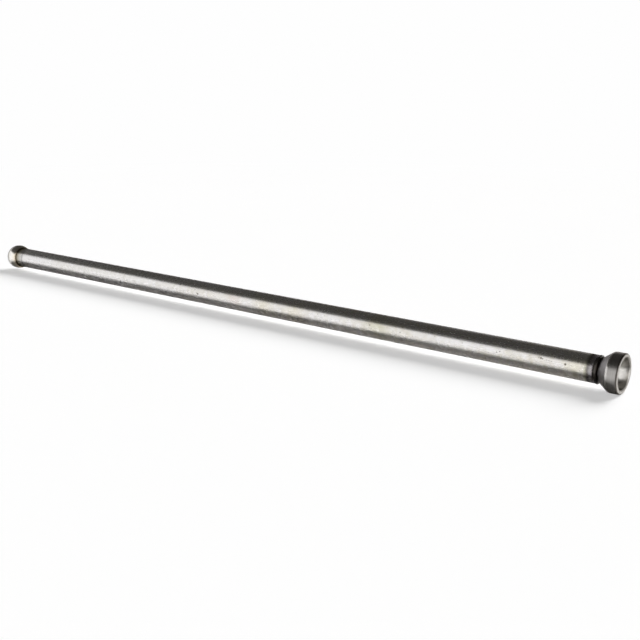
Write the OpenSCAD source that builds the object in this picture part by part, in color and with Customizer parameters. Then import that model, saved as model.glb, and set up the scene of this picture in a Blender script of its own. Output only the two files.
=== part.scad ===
// Engine pushrod: a drawn steel tube with a ball end and a cup end welded on.
// The rod lies along X, ball at -X and cup at +X, with its axis level.
// Z = 0 is the surface under the cup, and X = 0 is halfway along the rod.

/* [Rod] */
// Length from the ball's crown to the cup's rim
overall_length = 382.5; // [300:0.5:460]
// Outside diameter of the tube
tube_d = 11.1; // [10:0.1:12.4]
// Wall thickness of the tube
tube_wall = 1.6; // [1.3:0.1:2.4]
// Chamfer round the outer edge of each tube end
tube_chamfer = 0.4; // [0.1:0.05:0.5]

/* [Ball end] */
// Diameter of the ball that sits in the tappet
ball_d = 13.7; // [13:0.1:16]
// Length of the ball's spigot inside the tube
ball_spigot = 9; // [5:0.5:15]

/* [Cup end] */
// Outside diameter of the cup
cup_d = 16; // [15.2:0.1:19]
// Length of the cup's straight band, from the rim to the cone
cup_band = 4.4; // [3:0.1:6]
// Length of the cone between the band and the neck
cup_cone = 4.5; // [4:0.1:7]
// Radius of the round between the band and the cone
cup_round = 2; // [0.5:0.1:3]
// Chamfer round the outer edge of the rim
rim_chamfer = 0.4; // [0.1:0.05:0.6]
// Diameter of the round socket that takes the rocker's ball
socket_d = 12.5; // [10:0.1:13]
// Chamfer round the socket's mouth
mouth_chamfer = 0.25; // [0.1:0.05:0.4]
// Length of the cup's spigot inside the tube
cup_spigot = 10; // [5:0.5:15]

/* [Joints] */
// Width of the weld ring between the tube and the cup's cone
weld_w = 1.3; // [1:0.05:1.6]
// Height of the weld ring above the tube
weld_proud = 0.12; // [0:0.02:0.3]
// Step from the tube's surface down to the neck inside the weld ring
neck_step = 0.9; // [0.8:0.05:1.2]
// Radial clearance of the spigots in the bore
spigot_clearance = 0.02; // [0:0.01:0.06]
// Lead-in chamfer on the spigots
spigot_chamfer = 0.6; // [0.2:0.1:1]

/* [Hidden] */
smooth = 128;

tube_r = tube_d / 2;
bore_r = tube_r - tube_wall;
spigot_r = bore_r - spigot_clearance;
ball_r = ball_d / 2;
cup_r = cup_d / 2;
socket_r = socket_d / 2;
neck_r = tube_r - neck_step;

// The rod rests on its widest piece
axis_z = max(cup_r, ball_r);

// Places along the rod
rim_x = overall_length / 2;
cup_length = cup_band + cup_cone + weld_w;
tube_end_x = rim_x - cup_length;
ball_x = -overall_length / 2 + ball_r;
// The ball is cut flat where it is as wide as the tube, and the tube's end seats there
ball_seat = sqrt(ball_r * ball_r - tube_r * tube_r);
tube_start_x = ball_x + ball_seat;
tube_length = tube_end_x - tube_start_x;

// The round on the cup's shoulder is an arc that touches the band and the cone
cone_angle = atan2(cup_r - neck_r, cup_cone);
round_reach = cup_round * tan(cone_angle / 2);
round_steps = 6;
shoulder_arc = [for (i = [0:round_steps]) let (turn = cone_angle * i / round_steps) [
    cup_r - cup_round * (1 - cos(turn)),
    round_reach - cup_band - cup_round * sin(turn)
]];

// The weld ring's crown is a half circle on a straight foot
weld_crown_r = tube_r + weld_proud - weld_w / 2;

// Turns a profile about the rod's axis: its x is the radius, and its y runs along +X from x_start
module turned(x_start) {
    translate([x_start, 0, axis_z]) rotate([0, 90, 0]) rotate_extrude($fn = smooth) children();
}

// Half outline of a spigot of the given length, with a lead-in chamfer at its free end
module spigot_outline(length) {
    polygon([
        [0, 0],
        [spigot_r, 0],
        [spigot_r, length - spigot_chamfer],
        [spigot_r - spigot_chamfer, length],
        [0, length]
    ]);
}

module tube() {
    color("#8d8b88") turned(tube_start_x) polygon([
        [bore_r, 0],
        [tube_r - tube_chamfer, 0],
        [tube_r, tube_chamfer],
        [tube_r, tube_length - tube_chamfer],
        [tube_r - tube_chamfer, tube_length],
        [bore_r, tube_length]
    ]);
}

module ball_end() {
    color("#b9b2a4") turned(ball_x) union() {
        intersection() {
            circle(r = ball_r, $fn = smooth);
            translate([0, -ball_r]) square([ball_r, ball_r + ball_seat]);
        }
        translate([0, ball_seat]) spigot_outline(ball_spigot);
    }
}

// Half outline of the cup without its socket, from the rim at y = 0 down to the tube's end
module cup_outline() {
    polygon(concat(
        [[0, 0], [cup_r - rim_chamfer, 0], [cup_r, -rim_chamfer]],
        shoulder_arc,
        [[neck_r, -cup_band - cup_cone], [neck_r, -cup_length], [0, -cup_length]]
    ));
}

// Half outline of the socket, with a 45 degree chamfer at its mouth that runs out in the round
module socket_outline() {
    intersection() {
        circle(r = socket_r, $fn = smooth);
        translate([0, -socket_r]) square([socket_r, 2 * socket_r]);
    }
    polygon([
        [0, 0],
        [socket_r + mouth_chamfer, 0],
        [socket_r / 2 + mouth_chamfer, -socket_r / 2],
        [0, -socket_r / 2]
    ]);
}

module cup_end() {
    color("#85837f") turned(rim_x) union() {
        difference() {
            cup_outline();
            socket_outline();
        }
        translate([0, -cup_length]) mirror([0, 1]) spigot_outline(cup_spigot);
    }
}

module weld_ring() {
    color("#2b2723") turned(tube_end_x) difference() {
        union() {
            square([weld_crown_r, weld_w]);
            translate([weld_crown_r, weld_w / 2]) circle(d = weld_w, $fn = smooth);
        }
        square([neck_r, weld_w]);
    }
}

tube();
ball_end();
cup_end();
weld_ring();
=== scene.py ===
# Engine pushrod: a drawn steel tube with a ground ball at one end and a turned cup welded to the other
import math

import bmesh
import bpy
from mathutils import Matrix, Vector, noise


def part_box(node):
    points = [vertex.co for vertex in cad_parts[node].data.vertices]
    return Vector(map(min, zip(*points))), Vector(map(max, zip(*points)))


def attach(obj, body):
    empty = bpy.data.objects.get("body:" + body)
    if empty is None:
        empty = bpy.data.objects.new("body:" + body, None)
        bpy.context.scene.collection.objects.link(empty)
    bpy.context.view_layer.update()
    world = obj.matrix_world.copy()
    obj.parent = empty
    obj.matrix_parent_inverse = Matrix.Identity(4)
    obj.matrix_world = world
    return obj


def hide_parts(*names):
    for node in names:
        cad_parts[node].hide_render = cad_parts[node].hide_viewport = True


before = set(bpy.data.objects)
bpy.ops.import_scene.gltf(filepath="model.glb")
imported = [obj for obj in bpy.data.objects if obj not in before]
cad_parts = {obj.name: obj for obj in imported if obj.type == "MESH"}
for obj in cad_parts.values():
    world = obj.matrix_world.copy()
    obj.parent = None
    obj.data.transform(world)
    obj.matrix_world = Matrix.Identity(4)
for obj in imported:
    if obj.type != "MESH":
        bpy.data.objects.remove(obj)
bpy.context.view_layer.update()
print("frame loaded:", ", ".join(sorted(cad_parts)))

mm = 0.001
noiseLow, noiseHigh = 0.3, 0.7                           # most of a noise's values lie between these

# Places that everything below hangs on, read from the frame
tubeLow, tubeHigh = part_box("tube")
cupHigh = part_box("cup_end")[1]
weldLow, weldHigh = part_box("weld_ring")
axisZ = (tubeLow.z + tubeHigh.z) / 2
tubeRadius = (tubeHigh.z - tubeLow.z) / 2
tubeLength = tubeHigh.x - tubeLow.x
rim = Vector((cupHigh.x, 0, axisZ))                      # centre of the cup's mouth
cupJoint = Vector((weldLow.x, 0, axisZ))                 # where the weld begins on the tube
ballJoint = Vector((tubeLow.x, 0, axisZ))                # where the tube meets the ball


def linear(hexColour):
    # the sRGB curve, and full alpha
    parts = [int(hexColour[i:i + 2], 16) / 255 for i in (1, 3, 5)]
    return tuple(p / 12.92 if p <= 0.04045 else ((p + 0.055) / 1.055) ** 2.4 for p in parts) + (1.0,)


def addNode(tree, kind, inputs=None, stops=None, **settings):
    # inputs: a socket's name or number to a value or to another node's output
    # stops: a ramp's places and hex colours
    node = tree.nodes.new(kind)
    for name, value in settings.items():
        setattr(node, name, value)
    for place, value in (inputs or {}).items():
        if isinstance(value, bpy.types.NodeSocket):
            tree.links.new(value, node.inputs[place])
        else:
            node.inputs[place].default_value = value
    if stops:
        elements = node.color_ramp.elements
        while len(elements) < len(stops):
            elements.new(1.0)
        for element, (place, colour) in zip(elements, stops):
            element.position = place
            element.color = linear(colour)
    return node


def startMaterial(name):
    material = bpy.data.materials.new(name)
    material.use_nodes = True
    material.node_tree.nodes.clear()
    return material, material.node_tree


def millimetresFrom(tree, centre):
    # coordinates in millimetres from a point on the rod's axis
    place = addNode(tree, "ShaderNodeTexCoord").outputs["Object"]
    return addNode(tree, "ShaderNodeMapping", {
        "Vector": place, "Location": -centre / mm, "Scale": (1 / mm, 1 / mm, 1 / mm)}).outputs["Vector"]


def finishMetal(tree, colour, roughness, height, depth, edge):
    # bump depth is in millimetres, and edge tints the metal where it is seen edge on
    bump = addNode(tree, "ShaderNodeBump", {"Height": height, "Distance": depth * mm, "Strength": 1.0})
    shader = addNode(tree, "ShaderNodeBsdfPrincipled", {
        "Base Color": colour, "Metallic": 1.0, "Roughness": roughness, "Specular Tint": linear(edge),
        "Normal": bump.outputs["Normal"]})
    addNode(tree, "ShaderNodeOutputMaterial", {"Surface": shader.outputs["BSDF"]})


def tintAlong(tree, distance, tints):
    # colours by distance in millimetres, as a ramp
    reach = tints[-1][0]
    share = addNode(tree, "ShaderNodeMapRange", {"Value": distance, "From Max": reach}).outputs["Result"]
    ramp = addNode(tree, "ShaderNodeValToRGB", {"Fac": share},
                   [(place / reach, tint) for place, tint in tints])
    return ramp.outputs["Color"]


def dress(name, material):
    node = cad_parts[name]
    node.data.materials.clear()
    node.data.materials.append(material)


def addMesh(name, bm, material):
    mesh = bpy.data.meshes.new(name)
    bm.to_mesh(mesh)
    bm.free()
    mesh.materials.append(material)
    piece = bpy.data.objects.new(name, mesh)
    bpy.context.scene.collection.objects.link(piece)
    return piece


# Bright drawn steel: a soft sheen with faint lines along its length, thin oil in patches, specks and pits
# of old rust, and heat colours where the ends were welded on
tubeFinish = {
    "steel": "#f3f1f1",
    "oilAndPaintedShade": "#e0dacb",
    "speck": "#5a5146",
    "edge": "#545251",          # thin oil dulls the steel where it is seen edge on
    "smooth": 0.22,
    "worn": 0.34,
    "blotchShare": 0.45,        # how far the roughness follows the blotches rather than the lines
    "patch": (45, 7),           # mm along and across
    "drawLine": (60, 0.5),      # mm along and across, drawn coarser than the real lines so that they show
    "blotch": 2.6,              # mm
    "depth": 0.002,             # mm
    "farShare": 0.25,           # oil at the ball end, as a share of the oil at the cup
    "oilFrom": 0.15,            # noise at which oil begins and is full
    "oilFull": 0.42,
    "speckSize": 0.55,          # mm
    "speckNear": 0.09,          # how much denser the specks are at the cup
    "speckCluster": 0.22,       # how far they gather in the blotches
    "speckFrom": 0.90,          # noise at which a speck begins and is full
    "speckFull": 0.99,
    "pitFrom": 0.6,             # a pit begins and is full at these shares of its width from its middle
    "pitFull": 0.3,
    "wander": 0.6,              # mm by which the edge of the heat colours wanders
    # heat colours by mm from the tube's end, bare steel last
    "cupTints": [(0, "#4c4847"), (0.15, "#8a8789"), (0.55, "#b2afb6"), (0.95, "#bcbabf"),
                 (1.3, "#b3b1b4"), (1.7, "#9c999b"), (2.1, "#8b8a89"), (2.5, "#a5a49f"),
                 (2.9, "#cecfc7"), (3.3, "#e6e7df"), (3.7, "#ffffff")],
    "ballTints": [(0, "#5a5242"), (0.5, "#736c5b"), (1.0, "#9d9888"), (1.7, "#bdb9ab"),
                  (2.8, "#d0cec4"), (4.5, "#e2e2e0"), (5.4, "#cecece"), (6.2, "#cdcdcd"),
                  (6.8, "#ffffff")],
    # pits: mm from the cup's joint, degrees above straight in front, mm across
    "pits": [(10.9, 12.5, 0.85), (21.0, 19, 0.75), (20.3, 17, 0.5), (21.9, 20.5, 0.45),
             (18.6, 15, 0.35), (17.6, 15, 0.35), (16.6, 14, 0.35), (38.6, 13, 0.5), (39.9, 8, 0.5),
             (86, 11, 0.5), (102, 17, 0.55), (207.7, 4.5, 0.9), (208.4, 8, 0.5), (210, 23, 0.5)],
    # faint stains: mm from the cup's joint, degrees above straight in front, mm across, colour
    "stains": [(7, 15, 14, "#faf8ec"), (98, 20, 22, "#f5f5ea"), (145, 14, 20, "#fbf9ef"),
               (164, 8, 18, "#fbf9f0"), (183, 17, 14, "#fcf6f4")],
}


def onTube(distance, angle):
    # a place on the tube's skin in millimetres from the cup's joint
    turn = math.radians(angle)
    return -distance, -tubeRadius / mm * math.cos(turn), tubeRadius / mm * math.sin(turn)


def makeTubeSteel():
    finish = tubeFinish
    material, tree = startMaterial("brightDrawnSteel")
    place = millimetresFrom(tree, cupJoint)
    along = addNode(tree, "ShaderNodeSeparateXYZ", {"Vector": place}).outputs["X"]

    # fine lines and wide patches, from noises that are stretched along the tube
    stretched = []
    for length, width in (finish["drawLine"], finish["patch"]):
        stretch = addNode(tree, "ShaderNodeMapping", {
            "Vector": place, "Scale": (1 / length, 1 / width, 1 / width)}).outputs["Vector"]
        stretched.append(addNode(tree, "ShaderNodeTexNoise", {
            "Vector": stretch, "Scale": 1.0, "Detail": 3.0}).outputs["Fac"])
    lines, patches = stretched
    blotches = addNode(tree, "ShaderNodeTexNoise", {
        "Vector": place, "Scale": 1 / finish["blotch"], "Detail": 4.0}).outputs["Fac"]

    # oil and specks both grow towards the cup, and the specks come in clusters
    near = addNode(tree, "ShaderNodeMapRange", {
        "Value": along, "From Min": -tubeLength / mm, "From Max": 0,
        "To Min": finish["farShare"]}).outputs["Result"]
    oily = addNode(tree, "ShaderNodeMath", {0: patches, 1: blotches}, operation="MULTIPLY").outputs[0]
    oily = addNode(tree, "ShaderNodeMapRange", {
        "Value": oily, "From Min": finish["oilFrom"], "From Max": finish["oilFull"]}).outputs["Result"]
    oily = addNode(tree, "ShaderNodeMath", {0: oily, 1: near}, operation="MULTIPLY").outputs[0]
    colour = addNode(tree, "ShaderNodeMix", {
        0: oily, 6: linear(finish["steel"]), 7: linear(finish["oilAndPaintedShade"])}, data_type="RGBA").outputs[2]
    specks = addNode(tree, "ShaderNodeTexNoise", {
        "Vector": place, "Scale": 1 / finish["speckSize"], "Detail": 1.0}).outputs["Fac"]
    for gather, amount in ((near, finish["speckNear"]), (blotches, finish["speckCluster"])):
        specks = addNode(tree, "ShaderNodeMath", {
            0: gather, 1: amount, 2: specks}, operation="MULTIPLY_ADD").outputs[0]
    specks = addNode(tree, "ShaderNodeMapRange", {
        "Value": specks, "From Min": finish["speckFrom"],
        "From Max": finish["speckFull"]}).outputs["Result"]

    # single pits and stains, by the distance from their middles
    for distance, angle, across in finish["pits"]:
        gap = addNode(tree, "ShaderNodeVectorMath", {
            0: place, 1: onTube(distance, angle)}, operation="DISTANCE").outputs["Value"]
        pit = addNode(tree, "ShaderNodeMapRange", {
            "Value": gap, "From Min": across * finish["pitFrom"],
            "From Max": across * finish["pitFull"]}).outputs["Result"]
        specks = addNode(tree, "ShaderNodeMath", {0: specks, 1: pit}, operation="MAXIMUM").outputs[0]
    for distance, angle, across, tint in finish["stains"]:
        gap = addNode(tree, "ShaderNodeVectorMath", {
            0: place, 1: onTube(distance, angle)}, operation="DISTANCE").outputs["Value"]
        stain = addNode(tree, "ShaderNodeMapRange", {
            "Value": gap, "From Min": across / 2, "From Max": 0},
            interpolation_type="SMOOTHSTEP").outputs["Result"]
        colour = addNode(tree, "ShaderNodeMix", {
            0: stain, 6: colour, 7: linear(tint)}, data_type="RGBA", blend_type="MULTIPLY").outputs[2]
    colour = addNode(tree, "ShaderNodeMix", {
        0: specks, 6: colour, 7: linear(finish["speck"])}, data_type="RGBA").outputs[2]

    # heat colours at both ends, with an edge that wanders a little at the cup
    wander = addNode(tree, "ShaderNodeMath", {
        0: blotches, 1: finish["wander"], 2: -finish["wander"] / 2}, operation="MULTIPLY_ADD").outputs[0]
    fromCup = addNode(tree, "ShaderNodeMath", {0: wander, 1: along}, operation="SUBTRACT").outputs[0]
    fromBall = addNode(tree, "ShaderNodeMath", {
        0: along, 1: tubeLength / mm}, operation="ADD").outputs[0]
    for distance, tints in ((fromCup, finish["cupTints"]), (fromBall, finish["ballTints"])):
        colour = addNode(tree, "ShaderNodeMix", {
            0: 1.0, 6: colour, 7: tintAlong(tree, distance, tints)},
            data_type="RGBA", blend_type="MULTIPLY").outputs[2]

    uneven = addNode(tree, "ShaderNodeMix", {
        0: finish["blotchShare"], 2: lines, 3: blotches}).outputs[0]
    rough = addNode(tree, "ShaderNodeMapRange", {
        "Value": uneven, "From Min": noiseLow, "From Max": noiseHigh,
        "To Min": finish["smooth"], "To Max": finish["worn"]}).outputs["Result"]
    height = addNode(tree, "ShaderNodeMath", {0: lines, 1: specks}, operation="SUBTRACT").outputs[0]
    finishMetal(tree, colour, rough, height, finish["depth"], finish["edge"])
    return material


# Ground ball steel: smooth and warm white at its crown, straw and brown where the weld's heat reached it
ballFinish = {
    "steel": "#fefbf5",
    "edge": "#403e3c",
    "smooth": 0.16,
    "worn": 0.26,
    "scuff": 1.2,               # mm
    "depth": 0.004,             # mm
    "wander": 0.5,              # mm by which the edge of the heat colours wanders
    # heat colours by mm from the joint, bare steel last
    "tints": [(0, "#625848"), (0.2, "#7d7361"), (0.45, "#c0b6a5"), (0.8, "#f3ece1"), (1.6, "#fdfaf4"),
              (3.0, "#ffffff")],
}


def makeBallSteel():
    finish = ballFinish
    material, tree = startMaterial("groundBallSteel")
    place = millimetresFrom(tree, ballJoint)
    along = addNode(tree, "ShaderNodeSeparateXYZ", {"Vector": place}).outputs["X"]
    scuffs = addNode(tree, "ShaderNodeTexNoise", {
        "Vector": place, "Scale": 1 / finish["scuff"], "Detail": 4.0}).outputs["Fac"]
    wander = addNode(tree, "ShaderNodeMath", {
        0: scuffs, 1: finish["wander"], 2: -finish["wander"] / 2}, operation="MULTIPLY_ADD").outputs[0]
    distance = addNode(tree, "ShaderNodeMath", {0: wander, 1: along}, operation="SUBTRACT").outputs[0]
    colour = addNode(tree, "ShaderNodeMix", {
        0: 1.0, 6: linear(finish["steel"]), 7: tintAlong(tree, distance, finish["tints"])},
        data_type="RGBA", blend_type="MULTIPLY").outputs[2]
    rough = addNode(tree, "ShaderNodeMapRange", {
        "Value": scuffs, "From Min": noiseLow, "From Max": noiseHigh,
        "To Min": finish["smooth"], "To Max": finish["worn"]}).outputs["Result"]
    finishMetal(tree, colour, rough, scuffs, finish["depth"], finish["edge"])
    return material


# Turned cup steel: a dull grey cone and band with fine rings from the lathe, a smooth shoulder lightened
# as a painted highlight, a bright rim with a dark edge, and in the socket a smeared bright track along
# the rocker's ball's swing, between walls darkened with painted shade
cupFinish = {
    "band": "#aeaba8",
    "cone": "#9c999a",
    # painted highlight: the shoulder's strip is lighter than the band
    "shoulderHighlight": "#dcd9d5",
    "rim": "#d6d3ce",
    "chamferDark": "#5c5854",
    "heated": "#8c8987",
    "track": "#e6e3de",
    # painted shade: the socket's walls above and below the bright track are darker
    "oilAndPaintedShade": "#8f8c86",
    "edge": "#b4b1ae",
    "bandRough": 0.32,
    "coneRough": 0.36,
    "shoulderRough": 0.15,
    "trackRough": 0.28,
    "wallRough": 0.34,
    "ring": 0.3,                # mm between the lathe's rings, drawn coarser than the real ones to show
    "ringShade": (0.86, 1.1),   # the rings' darkest and lightest
    "stain": 2.5,               # mm
    "smear": (0.74, 1.12),      # the socket's darkest and lightest stains
    "ragged": 2.0,              # mm by which the track's edges wander
    "depth": 0.003,             # mm
    # mm behind the rim
    "chamfer": (0.03, 0.06, 0.5, 0.7),      # the rim's end, dark from and to, the band's start
    "shoulder": (3.7, 4.4, 5.0),            # the band's end, the middle of the painted highlight, the cone's start
    "heat": (8.7, 8.9),                     # where the weld's scale begins
    "mouth": (6.6, 6.8),        # mm from the rim's centre, where the socket ends
    "swing": 18,                # degrees by which the track is rolled from level
    "shadedAbove": (1.7, 2.9),   # mm from the track's middle, where the painted shade on the walls begins and is full
    "shadedBelow": (-2.2, -3.8),
    "lowerShadeShare": 0.5,            # the lower wall has less painted shade on it
}


def makeCupSteel():
    finish = cupFinish
    material, tree = startMaterial("turnedCupSteel")
    place = millimetresFrom(tree, rim)
    along = addNode(tree, "ShaderNodeSeparateXYZ", {"Vector": place}).outputs["X"]
    behind = addNode(tree, "ShaderNodeMath", {0: along, 1: -1.0}, operation="MULTIPLY").outputs[0]
    reach = addNode(tree, "ShaderNodeVectorMath", {0: place}, operation="LENGTH").outputs["Value"]
    rings = addNode(tree, "ShaderNodeTexNoise", {
        "W": behind, "Scale": 1 / finish["ring"], "Detail": 2.0}, noise_dimensions="1D").outputs["Fac"]
    stains = addNode(tree, "ShaderNodeTexNoise", {
        "Vector": place, "Scale": 1 / finish["stain"], "Detail": 4.0}).outputs["Fac"]

    # outside, from the rim back: chamfer, band, shoulder with a painted highlight, cone, heated neck
    stops = (0, *finish["chamfer"], *finish["shoulder"], *finish["heat"])
    zones = ("rim", "rim", "chamferDark", "chamferDark", "band",
             "band", "shoulderHighlight", "cone", "cone", "heated")
    outside = tintAlong(tree, behind, [(stop, finish[zone]) for stop, zone in zip(stops, zones)])
    bandEnd, shoulderMiddle, coneStart = finish["shoulder"]
    outsideRough = addNode(tree, "ShaderNodeMapRange", {
        "Value": behind, "From Min": bandEnd, "From Max": shoulderMiddle,
        "To Min": finish["bandRough"], "To Max": finish["shoulderRough"]}).outputs["Result"]
    outsideRough = addNode(tree, "ShaderNodeMapRange", {
        "Value": behind, "From Min": shoulderMiddle, "From Max": coneStart,
        "To Min": outsideRough, "To Max": finish["coneRough"]}).outputs["Result"]

    # inside, walls darkened with painted shade on either side of a bright track, by the distance from the
    # plane in which the rocker's ball swings, with a ragged edge
    swing = math.radians(finish["swing"])
    aside = addNode(tree, "ShaderNodeVectorMath", {
        0: place, 1: (0, math.sin(swing), math.cos(swing))}, operation="DOT_PRODUCT").outputs["Value"]
    ragged = addNode(tree, "ShaderNodeMath", {
        0: stains, 1: finish["ragged"], 2: -finish["ragged"] / 2}, operation="MULTIPLY_ADD").outputs[0]
    ragged = addNode(tree, "ShaderNodeMath", {0: aside, 1: ragged}, operation="ADD").outputs[0]
    walls = []
    for (start, full), oilAndPaintedShade in ((finish["shadedAbove"], 1.0), (finish["shadedBelow"], finish["lowerShadeShare"])):
        walls.append(addNode(tree, "ShaderNodeMapRange", {
            "Value": ragged, "From Min": start, "From Max": full, "To Max": oilAndPaintedShade}).outputs["Result"])
    wallShade = addNode(tree, "ShaderNodeMath", {0: walls[0], 1: walls[1]}, operation="MAXIMUM").outputs[0]
    inside = addNode(tree, "ShaderNodeMix", {
        0: wallShade, 6: linear(finish["track"]), 7: linear(finish["oilAndPaintedShade"])}, data_type="RGBA").outputs[2]
    insideRough = addNode(tree, "ShaderNodeMapRange", {
        "Value": wallShade, "To Min": finish["trackRough"], "To Max": finish["wallRough"]}).outputs["Result"]

    # the lathe's rings shade the outside, and stains smear the inside
    shaded = []
    for colour, pattern, (darkest, lightest) in ((outside, rings, finish["ringShade"]),
                                                 (inside, stains, finish["smear"])):
        shade = addNode(tree, "ShaderNodeMapRange", {
            "Value": pattern, "From Min": noiseLow, "From Max": noiseHigh,
            "To Min": darkest, "To Max": lightest}).outputs["Result"]
        shaded.append(addNode(tree, "ShaderNodeMix", {
            0: 1.0, 6: colour, 7: shade}, data_type="RGBA", blend_type="MULTIPLY").outputs[2])
    outside, inside = shaded

    out = addNode(tree, "ShaderNodeMapRange", {
        "Value": reach, "From Min": finish["mouth"][0], "From Max": finish["mouth"][1]}).outputs["Result"]
    colour = addNode(tree, "ShaderNodeMix", {0: out, 6: inside, 7: outside}, data_type="RGBA").outputs[2]
    rough = addNode(tree, "ShaderNodeMapRange", {
        "Value": out, "To Min": insideRough, "To Max": outsideRough}).outputs["Result"]
    finishMetal(tree, colour, rough, rings, finish["depth"], finish["edge"])
    return material


# Weld scale: dark brownish grey oxide on the bead, a little shiny and uneven, with a painted highlight in
# lighter grey patches on its crest
weldFinish = {
    "scale": "#4a4540",
    # painted highlight on the bead's crest
    "crestHighlight": "#5e5b58",
    "edge": "#ffffff",
    "roughness": 0.38,
    "uneven": 0.1,              # how far the roughness goes either way
    "grain": 0.6,               # mm
    "depth": 0.03,              # mm
    "crest": (5.25, 5.6),       # mm from the rod's axis, where the painted highlight begins and is full
}


def makeWeldScale():
    finish = weldFinish
    material, tree = startMaterial("scaledWeldSteel")
    place = millimetresFrom(tree, cupJoint)
    grain = addNode(tree, "ShaderNodeTexNoise", {
        "Vector": place, "Scale": 1 / finish["grain"], "Detail": 4.0}).outputs["Fac"]
    # the crest's painted highlight, in grey patches that follow the grain
    outward = addNode(tree, "ShaderNodeVectorMath", {
        0: place, 1: (0, 1, 1)}, operation="MULTIPLY").outputs[0]
    radius = addNode(tree, "ShaderNodeVectorMath", {0: outward}, operation="LENGTH").outputs["Value"]
    crest = addNode(tree, "ShaderNodeMapRange", {
        "Value": radius, "From Min": finish["crest"][0],
        "From Max": finish["crest"][1]}).outputs["Result"]
    crestHighlight = addNode(tree, "ShaderNodeMapRange", {
        "Value": grain, "From Min": noiseLow, "From Max": noiseHigh}).outputs["Result"]
    crestHighlight = addNode(tree, "ShaderNodeMath", {0: crestHighlight, 1: crest}, operation="MULTIPLY").outputs[0]
    colour = addNode(tree, "ShaderNodeMix", {
        0: crestHighlight, 6: linear(finish["scale"]), 7: linear(finish["crestHighlight"])}, data_type="RGBA").outputs[2]
    rough = addNode(tree, "ShaderNodeMapRange", {
        "Value": grain, "To Min": finish["roughness"] + finish["uneven"],
        "To Max": finish["roughness"] - finish["uneven"]}).outputs["Result"]
    finishMetal(tree, colour, rough, grain, finish["depth"], finish["edge"])
    return material


dress("tube", makeTubeSteel())
dress("ball_end", makeBallSteel())
dress("cup_end", makeCupSteel())
print("materials on the tube, the ball and the cup")

# The weld's bead: the ring's own round crown on a straight foot, as uneven as a hand weld leaves it
weldBead = {
    "neck": 4.65,               # mm, radius that the bead sits on
    "arcSteps": 14,
    "turnSteps": 160,
    "mergeWithin": 0.001,       # mm
    "ripple": 1.5,              # mm between the lumps
    "uneven": 0.16,             # mm
}


def makeWeldBead():
    half = (weldHigh.x - weldLow.x) / 2
    crown = weldHigh.z - axisZ - half                    # radius at which the round crown starts
    middle = Vector(((weldLow.x + weldHigh.x) / 2, 0, axisZ))
    bm = bmesh.new()
    side = bm.verts.new(middle + Vector((-half, 0, crown)))
    arc = bmesh.ops.spin(bm, geom=[side], cent=middle + Vector((0, 0, crown)), axis=(0, 1, 0),
                         angle=math.pi, steps=weldBead["arcSteps"])
    ends = [side] + [v for v in arc["geom_last"] if isinstance(v, bmesh.types.BMVert)]
    feet = bmesh.ops.extrude_vert_indiv(bm, verts=ends)["verts"]
    bmesh.ops.translate(bm, vec=(0, 0, weldBead["neck"] * mm - crown), verts=feet)
    bm.edges.new(feet)
    bmesh.ops.spin(bm, geom=bm.verts[:] + bm.edges[:], cent=middle, axis=(1, 0, 0), angle=2 * math.pi,
                   steps=weldBead["turnSteps"], use_merge=True)
    bmesh.ops.remove_doubles(bm, verts=bm.verts[:], dist=weldBead["mergeWithin"] * mm)
    bmesh.ops.recalc_face_normals(bm, faces=bm.faces[:])
    for vert in bm.verts:
        outward = vert.co - Vector((vert.co.x, 0, axisZ))
        height = max(outward.length - crown, 0) / half   # 1 on the crest
        lump = noise.noise(vert.co / (weldBead["ripple"] * mm)) * weldBead["uneven"] * mm
        vert.co += outward.normalized() * lump * height
    for face in bm.faces:
        face.smooth = True
    bead = addMesh("weldBead", bm, makeWeldScale())
    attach(bead, "root")
    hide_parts("weld_ring")


makeWeldBead()
print("weld bead made")

# White studio: a pale floor, a round white wall, a white panel in front of the rod, and dim light above
studio = {
    "white": "#fefefe",
    "card": "#424242",          # what the wall and the panel give back as light
    "radius": 3.0,              # m, as all lengths here
    "segments": 96,
    "floorReach": 1.02,         # the floor's radius as a share of the wall's
    "wallHeight": 1.35,
    # where the wall is lower or higher: degrees from the cup end round to the back, half width and ease
    # in degrees, and height
    "dip": (136, 17, 3, 0.95),  # mirrored by the tube's top edge
    "rise": (304, 30, 6, 3.4),  # mirrored by the socket
    "panelLeft": (-2.5, -0.634),
    "panelRight": (0.6, -2.298),
    "panelHeight": 1.3,
    "panelFade": 0.2,           # the panel's top edge fades over this height
    "panelDim": 0.1,            # to this strength
    "sky": [(0, "#7d7c7a"), (0.4, "#62615f"), (0.6, "#535250"), (0.8, "#434240"), (1, "#3a3937")],
    "whiteFrom": 0.35,          # the floor turns from lit to plain white between these distances
    "whiteTo": 0.8,
    "shadowLift": 0.5,          # how far the floor's shadow is lifted for the eye
    "sunTilt": 50,              # degrees from straight up, leaning to the back
    "sunTurn": -15,             # degrees from the back, towards the ball end where it is above 0
    "sunAngle": 40,
    "sunStrength": 4.6,
}


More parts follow.
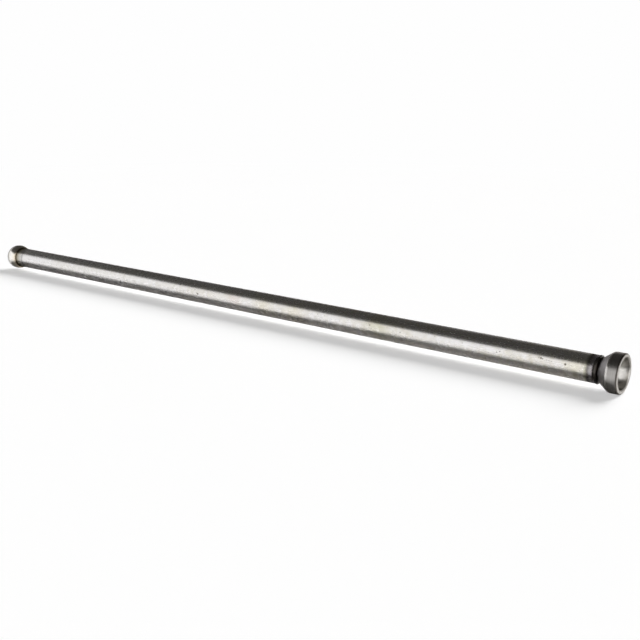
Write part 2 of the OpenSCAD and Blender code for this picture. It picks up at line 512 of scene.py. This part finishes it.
def finishBackdrop(tree, paper, far, lift):
    # lit like paper, but plain white to the eye and to metal where far is 1
    # lift takes it part of the way to white for the eye alone
    path = addNode(tree, "ShaderNodeLightPath").outputs
    seen = addNode(tree, "ShaderNodeMath", {
        0: path["Is Camera Ray"], 1: path["Is Glossy Ray"]}, operation="MAXIMUM").outputs[0]
    seen = addNode(tree, "ShaderNodeMath", {
        0: seen, 1: path["Is Transmission Ray"]}, operation="MAXIMUM").outputs[0]
    plain = addNode(tree, "ShaderNodeMath", {0: seen, 1: far}, operation="MULTIPLY").outputs[0]
    lifted = addNode(tree, "ShaderNodeMath", {
        0: path["Is Camera Ray"], 1: lift}, operation="MULTIPLY").outputs[0]
    amount = addNode(tree, "ShaderNodeMath", {0: plain, 1: lifted}, operation="MAXIMUM").outputs[0]
    diffuse = addNode(tree, "ShaderNodeBsdfDiffuse", {"Color": linear(paper)})
    glow = addNode(tree, "ShaderNodeEmission", {"Color": linear(studio["white"]), "Strength": 1.0})
    mixed = addNode(tree, "ShaderNodeMixShader", {
        0: amount, 1: diffuse.outputs["BSDF"], 2: glow.outputs["Emission"]})
    addNode(tree, "ShaderNodeOutputMaterial", {"Surface": mixed.outputs["Shader"]})
    return glow


def makeFloor():
    material, tree = startMaterial("paleFloor")
    place = addNode(tree, "ShaderNodeTexCoord").outputs["Object"]
    distance = addNode(tree, "ShaderNodeVectorMath", {0: place}, operation="LENGTH").outputs["Value"]
    far = addNode(tree, "ShaderNodeMapRange", {
        "Value": distance, "From Min": studio["whiteFrom"], "From Max": studio["whiteTo"]},
        interpolation_type="SMOOTHSTEP").outputs["Result"]
    finishBackdrop(tree, studio["white"], far, studio["shadowLift"])
    bm = bmesh.new()
    bmesh.ops.create_circle(bm, cap_ends=True, segments=studio["segments"],
                            radius=studio["radius"] * studio["floorReach"])
    return addMesh("floor", bm, material)


def makeWall():
    material, tree = startMaterial("whiteWall")
    finishBackdrop(tree, studio["card"], 1.0, 1.0)
    bm = bmesh.new()
    bmesh.ops.create_circle(bm, segments=studio["segments"], radius=studio["radius"])
    top = bmesh.ops.extrude_edge_only(bm, edges=bm.edges[:])
    for vert in top["geom"]:
        if isinstance(vert, bmesh.types.BMVert):
            facing = math.degrees(math.atan2(vert.co.y, vert.co.x))
            vert.co.z = studio["wallHeight"]
            for turn, halfWidth, ease, height in (studio["dip"], studio["rise"]):
                aside = abs((facing - turn + 180) % 360 - 180)
                share = min(max((halfWidth + ease - aside) / ease, 0), 1)
                vert.co.z += (height - studio["wallHeight"]) * share
    return addMesh("wall", bm, material)


def makePanel():
    material, tree = startMaterial("whitePanel")
    place = addNode(tree, "ShaderNodeTexCoord").outputs["Object"]
    height = addNode(tree, "ShaderNodeSeparateXYZ", {"Vector": place}).outputs["Z"]
    glow = finishBackdrop(tree, studio["card"], 1.0, 1.0)
    fade = addNode(tree, "ShaderNodeMapRange", {
        "Value": height, "From Min": studio["panelHeight"] - studio["panelFade"],
        "From Max": studio["panelHeight"], "To Min": 1.0, "To Max": studio["panelDim"]},
        interpolation_type="SMOOTHSTEP").outputs["Result"]
    tree.links.new(fade, glow.inputs["Strength"])
    bm = bmesh.new()
    corners = [bm.verts.new((x, y, 0)) for x, y in (studio["panelLeft"], studio["panelRight"])]
    edge = bm.edges.new(corners)
    top = bmesh.ops.extrude_edge_only(bm, edges=[edge])
    raised = [v for v in top["geom"] if isinstance(v, bmesh.types.BMVert)]
    bmesh.ops.translate(bm, vec=(0, 0, studio["panelHeight"]), verts=raised)
    return addMesh("panel", bm, material)


backdrop = [makeFloor(), makeWall(), makePanel()]
for sheet in backdrop[1:]:
    sheet.visible_shadow = False

# Above the wall it is dim, and darkest overhead
world = bpy.data.worlds.new("darkCeiling")
world.use_nodes = True
worldTree = world.node_tree
direction = addNode(worldTree, "ShaderNodeTexCoord").outputs["Generated"]
upward = addNode(worldTree, "ShaderNodeSeparateXYZ", {"Vector": direction}).outputs["Z"]
sky = addNode(worldTree, "ShaderNodeValToRGB", {"Fac": upward}, studio["sky"]).outputs["Color"]
worldTree.links.new(sky, worldTree.nodes["Background"].inputs["Color"])
bpy.context.scene.world = world

# The lamp lights the floor from above and behind, and doesn't show in the metal
lamp = bpy.data.lights.new("overheadSoft", "SUN")
lamp.energy = studio["sunStrength"]
lamp.angle = math.radians(studio["sunAngle"])
lampObject = bpy.data.objects.new("overheadSoft", lamp)
lampObject.rotation_euler = (-math.radians(studio["sunTilt"]), 0, math.radians(studio["sunTurn"]))
lampObject.visible_glossy = False
bpy.context.scene.collection.objects.link(lampObject)
print("studio made")

# The photograph's view, fitted to the rod's edges, rim and ball
camera = {
    "place": (0.30315, -0.33331, 0.11837),
    "azimuth": 37.5,
    "elevation": 15.02,
    "lens": 52.44,              # mm
    "sensor": 36.0,             # mm
    "clip": (0.01, 20.0),       # m
}


def makeCamera():
    azimuth, elevation = math.radians(camera["azimuth"]), math.radians(camera["elevation"])
    back = Vector((math.sin(azimuth) * math.cos(elevation), -math.cos(azimuth) * math.cos(elevation),
                   math.sin(elevation)))
    data = bpy.data.cameras.new("photoView")
    data.lens = camera["lens"]
    data.sensor_width = camera["sensor"]
    data.clip_start, data.clip_end = camera["clip"]
    view = bpy.data.objects.new("photoView", data)
    view.location = camera["place"]
    view.rotation_mode = "QUATERNION"
    view.rotation_quaternion = (-back).to_track_quat("-Z", "Y")
    bpy.context.scene.collection.objects.link(view)
    bpy.context.scene.camera = view


makeCamera()
bpy.context.scene.view_settings.view_transform = "Standard"
print("camera set")
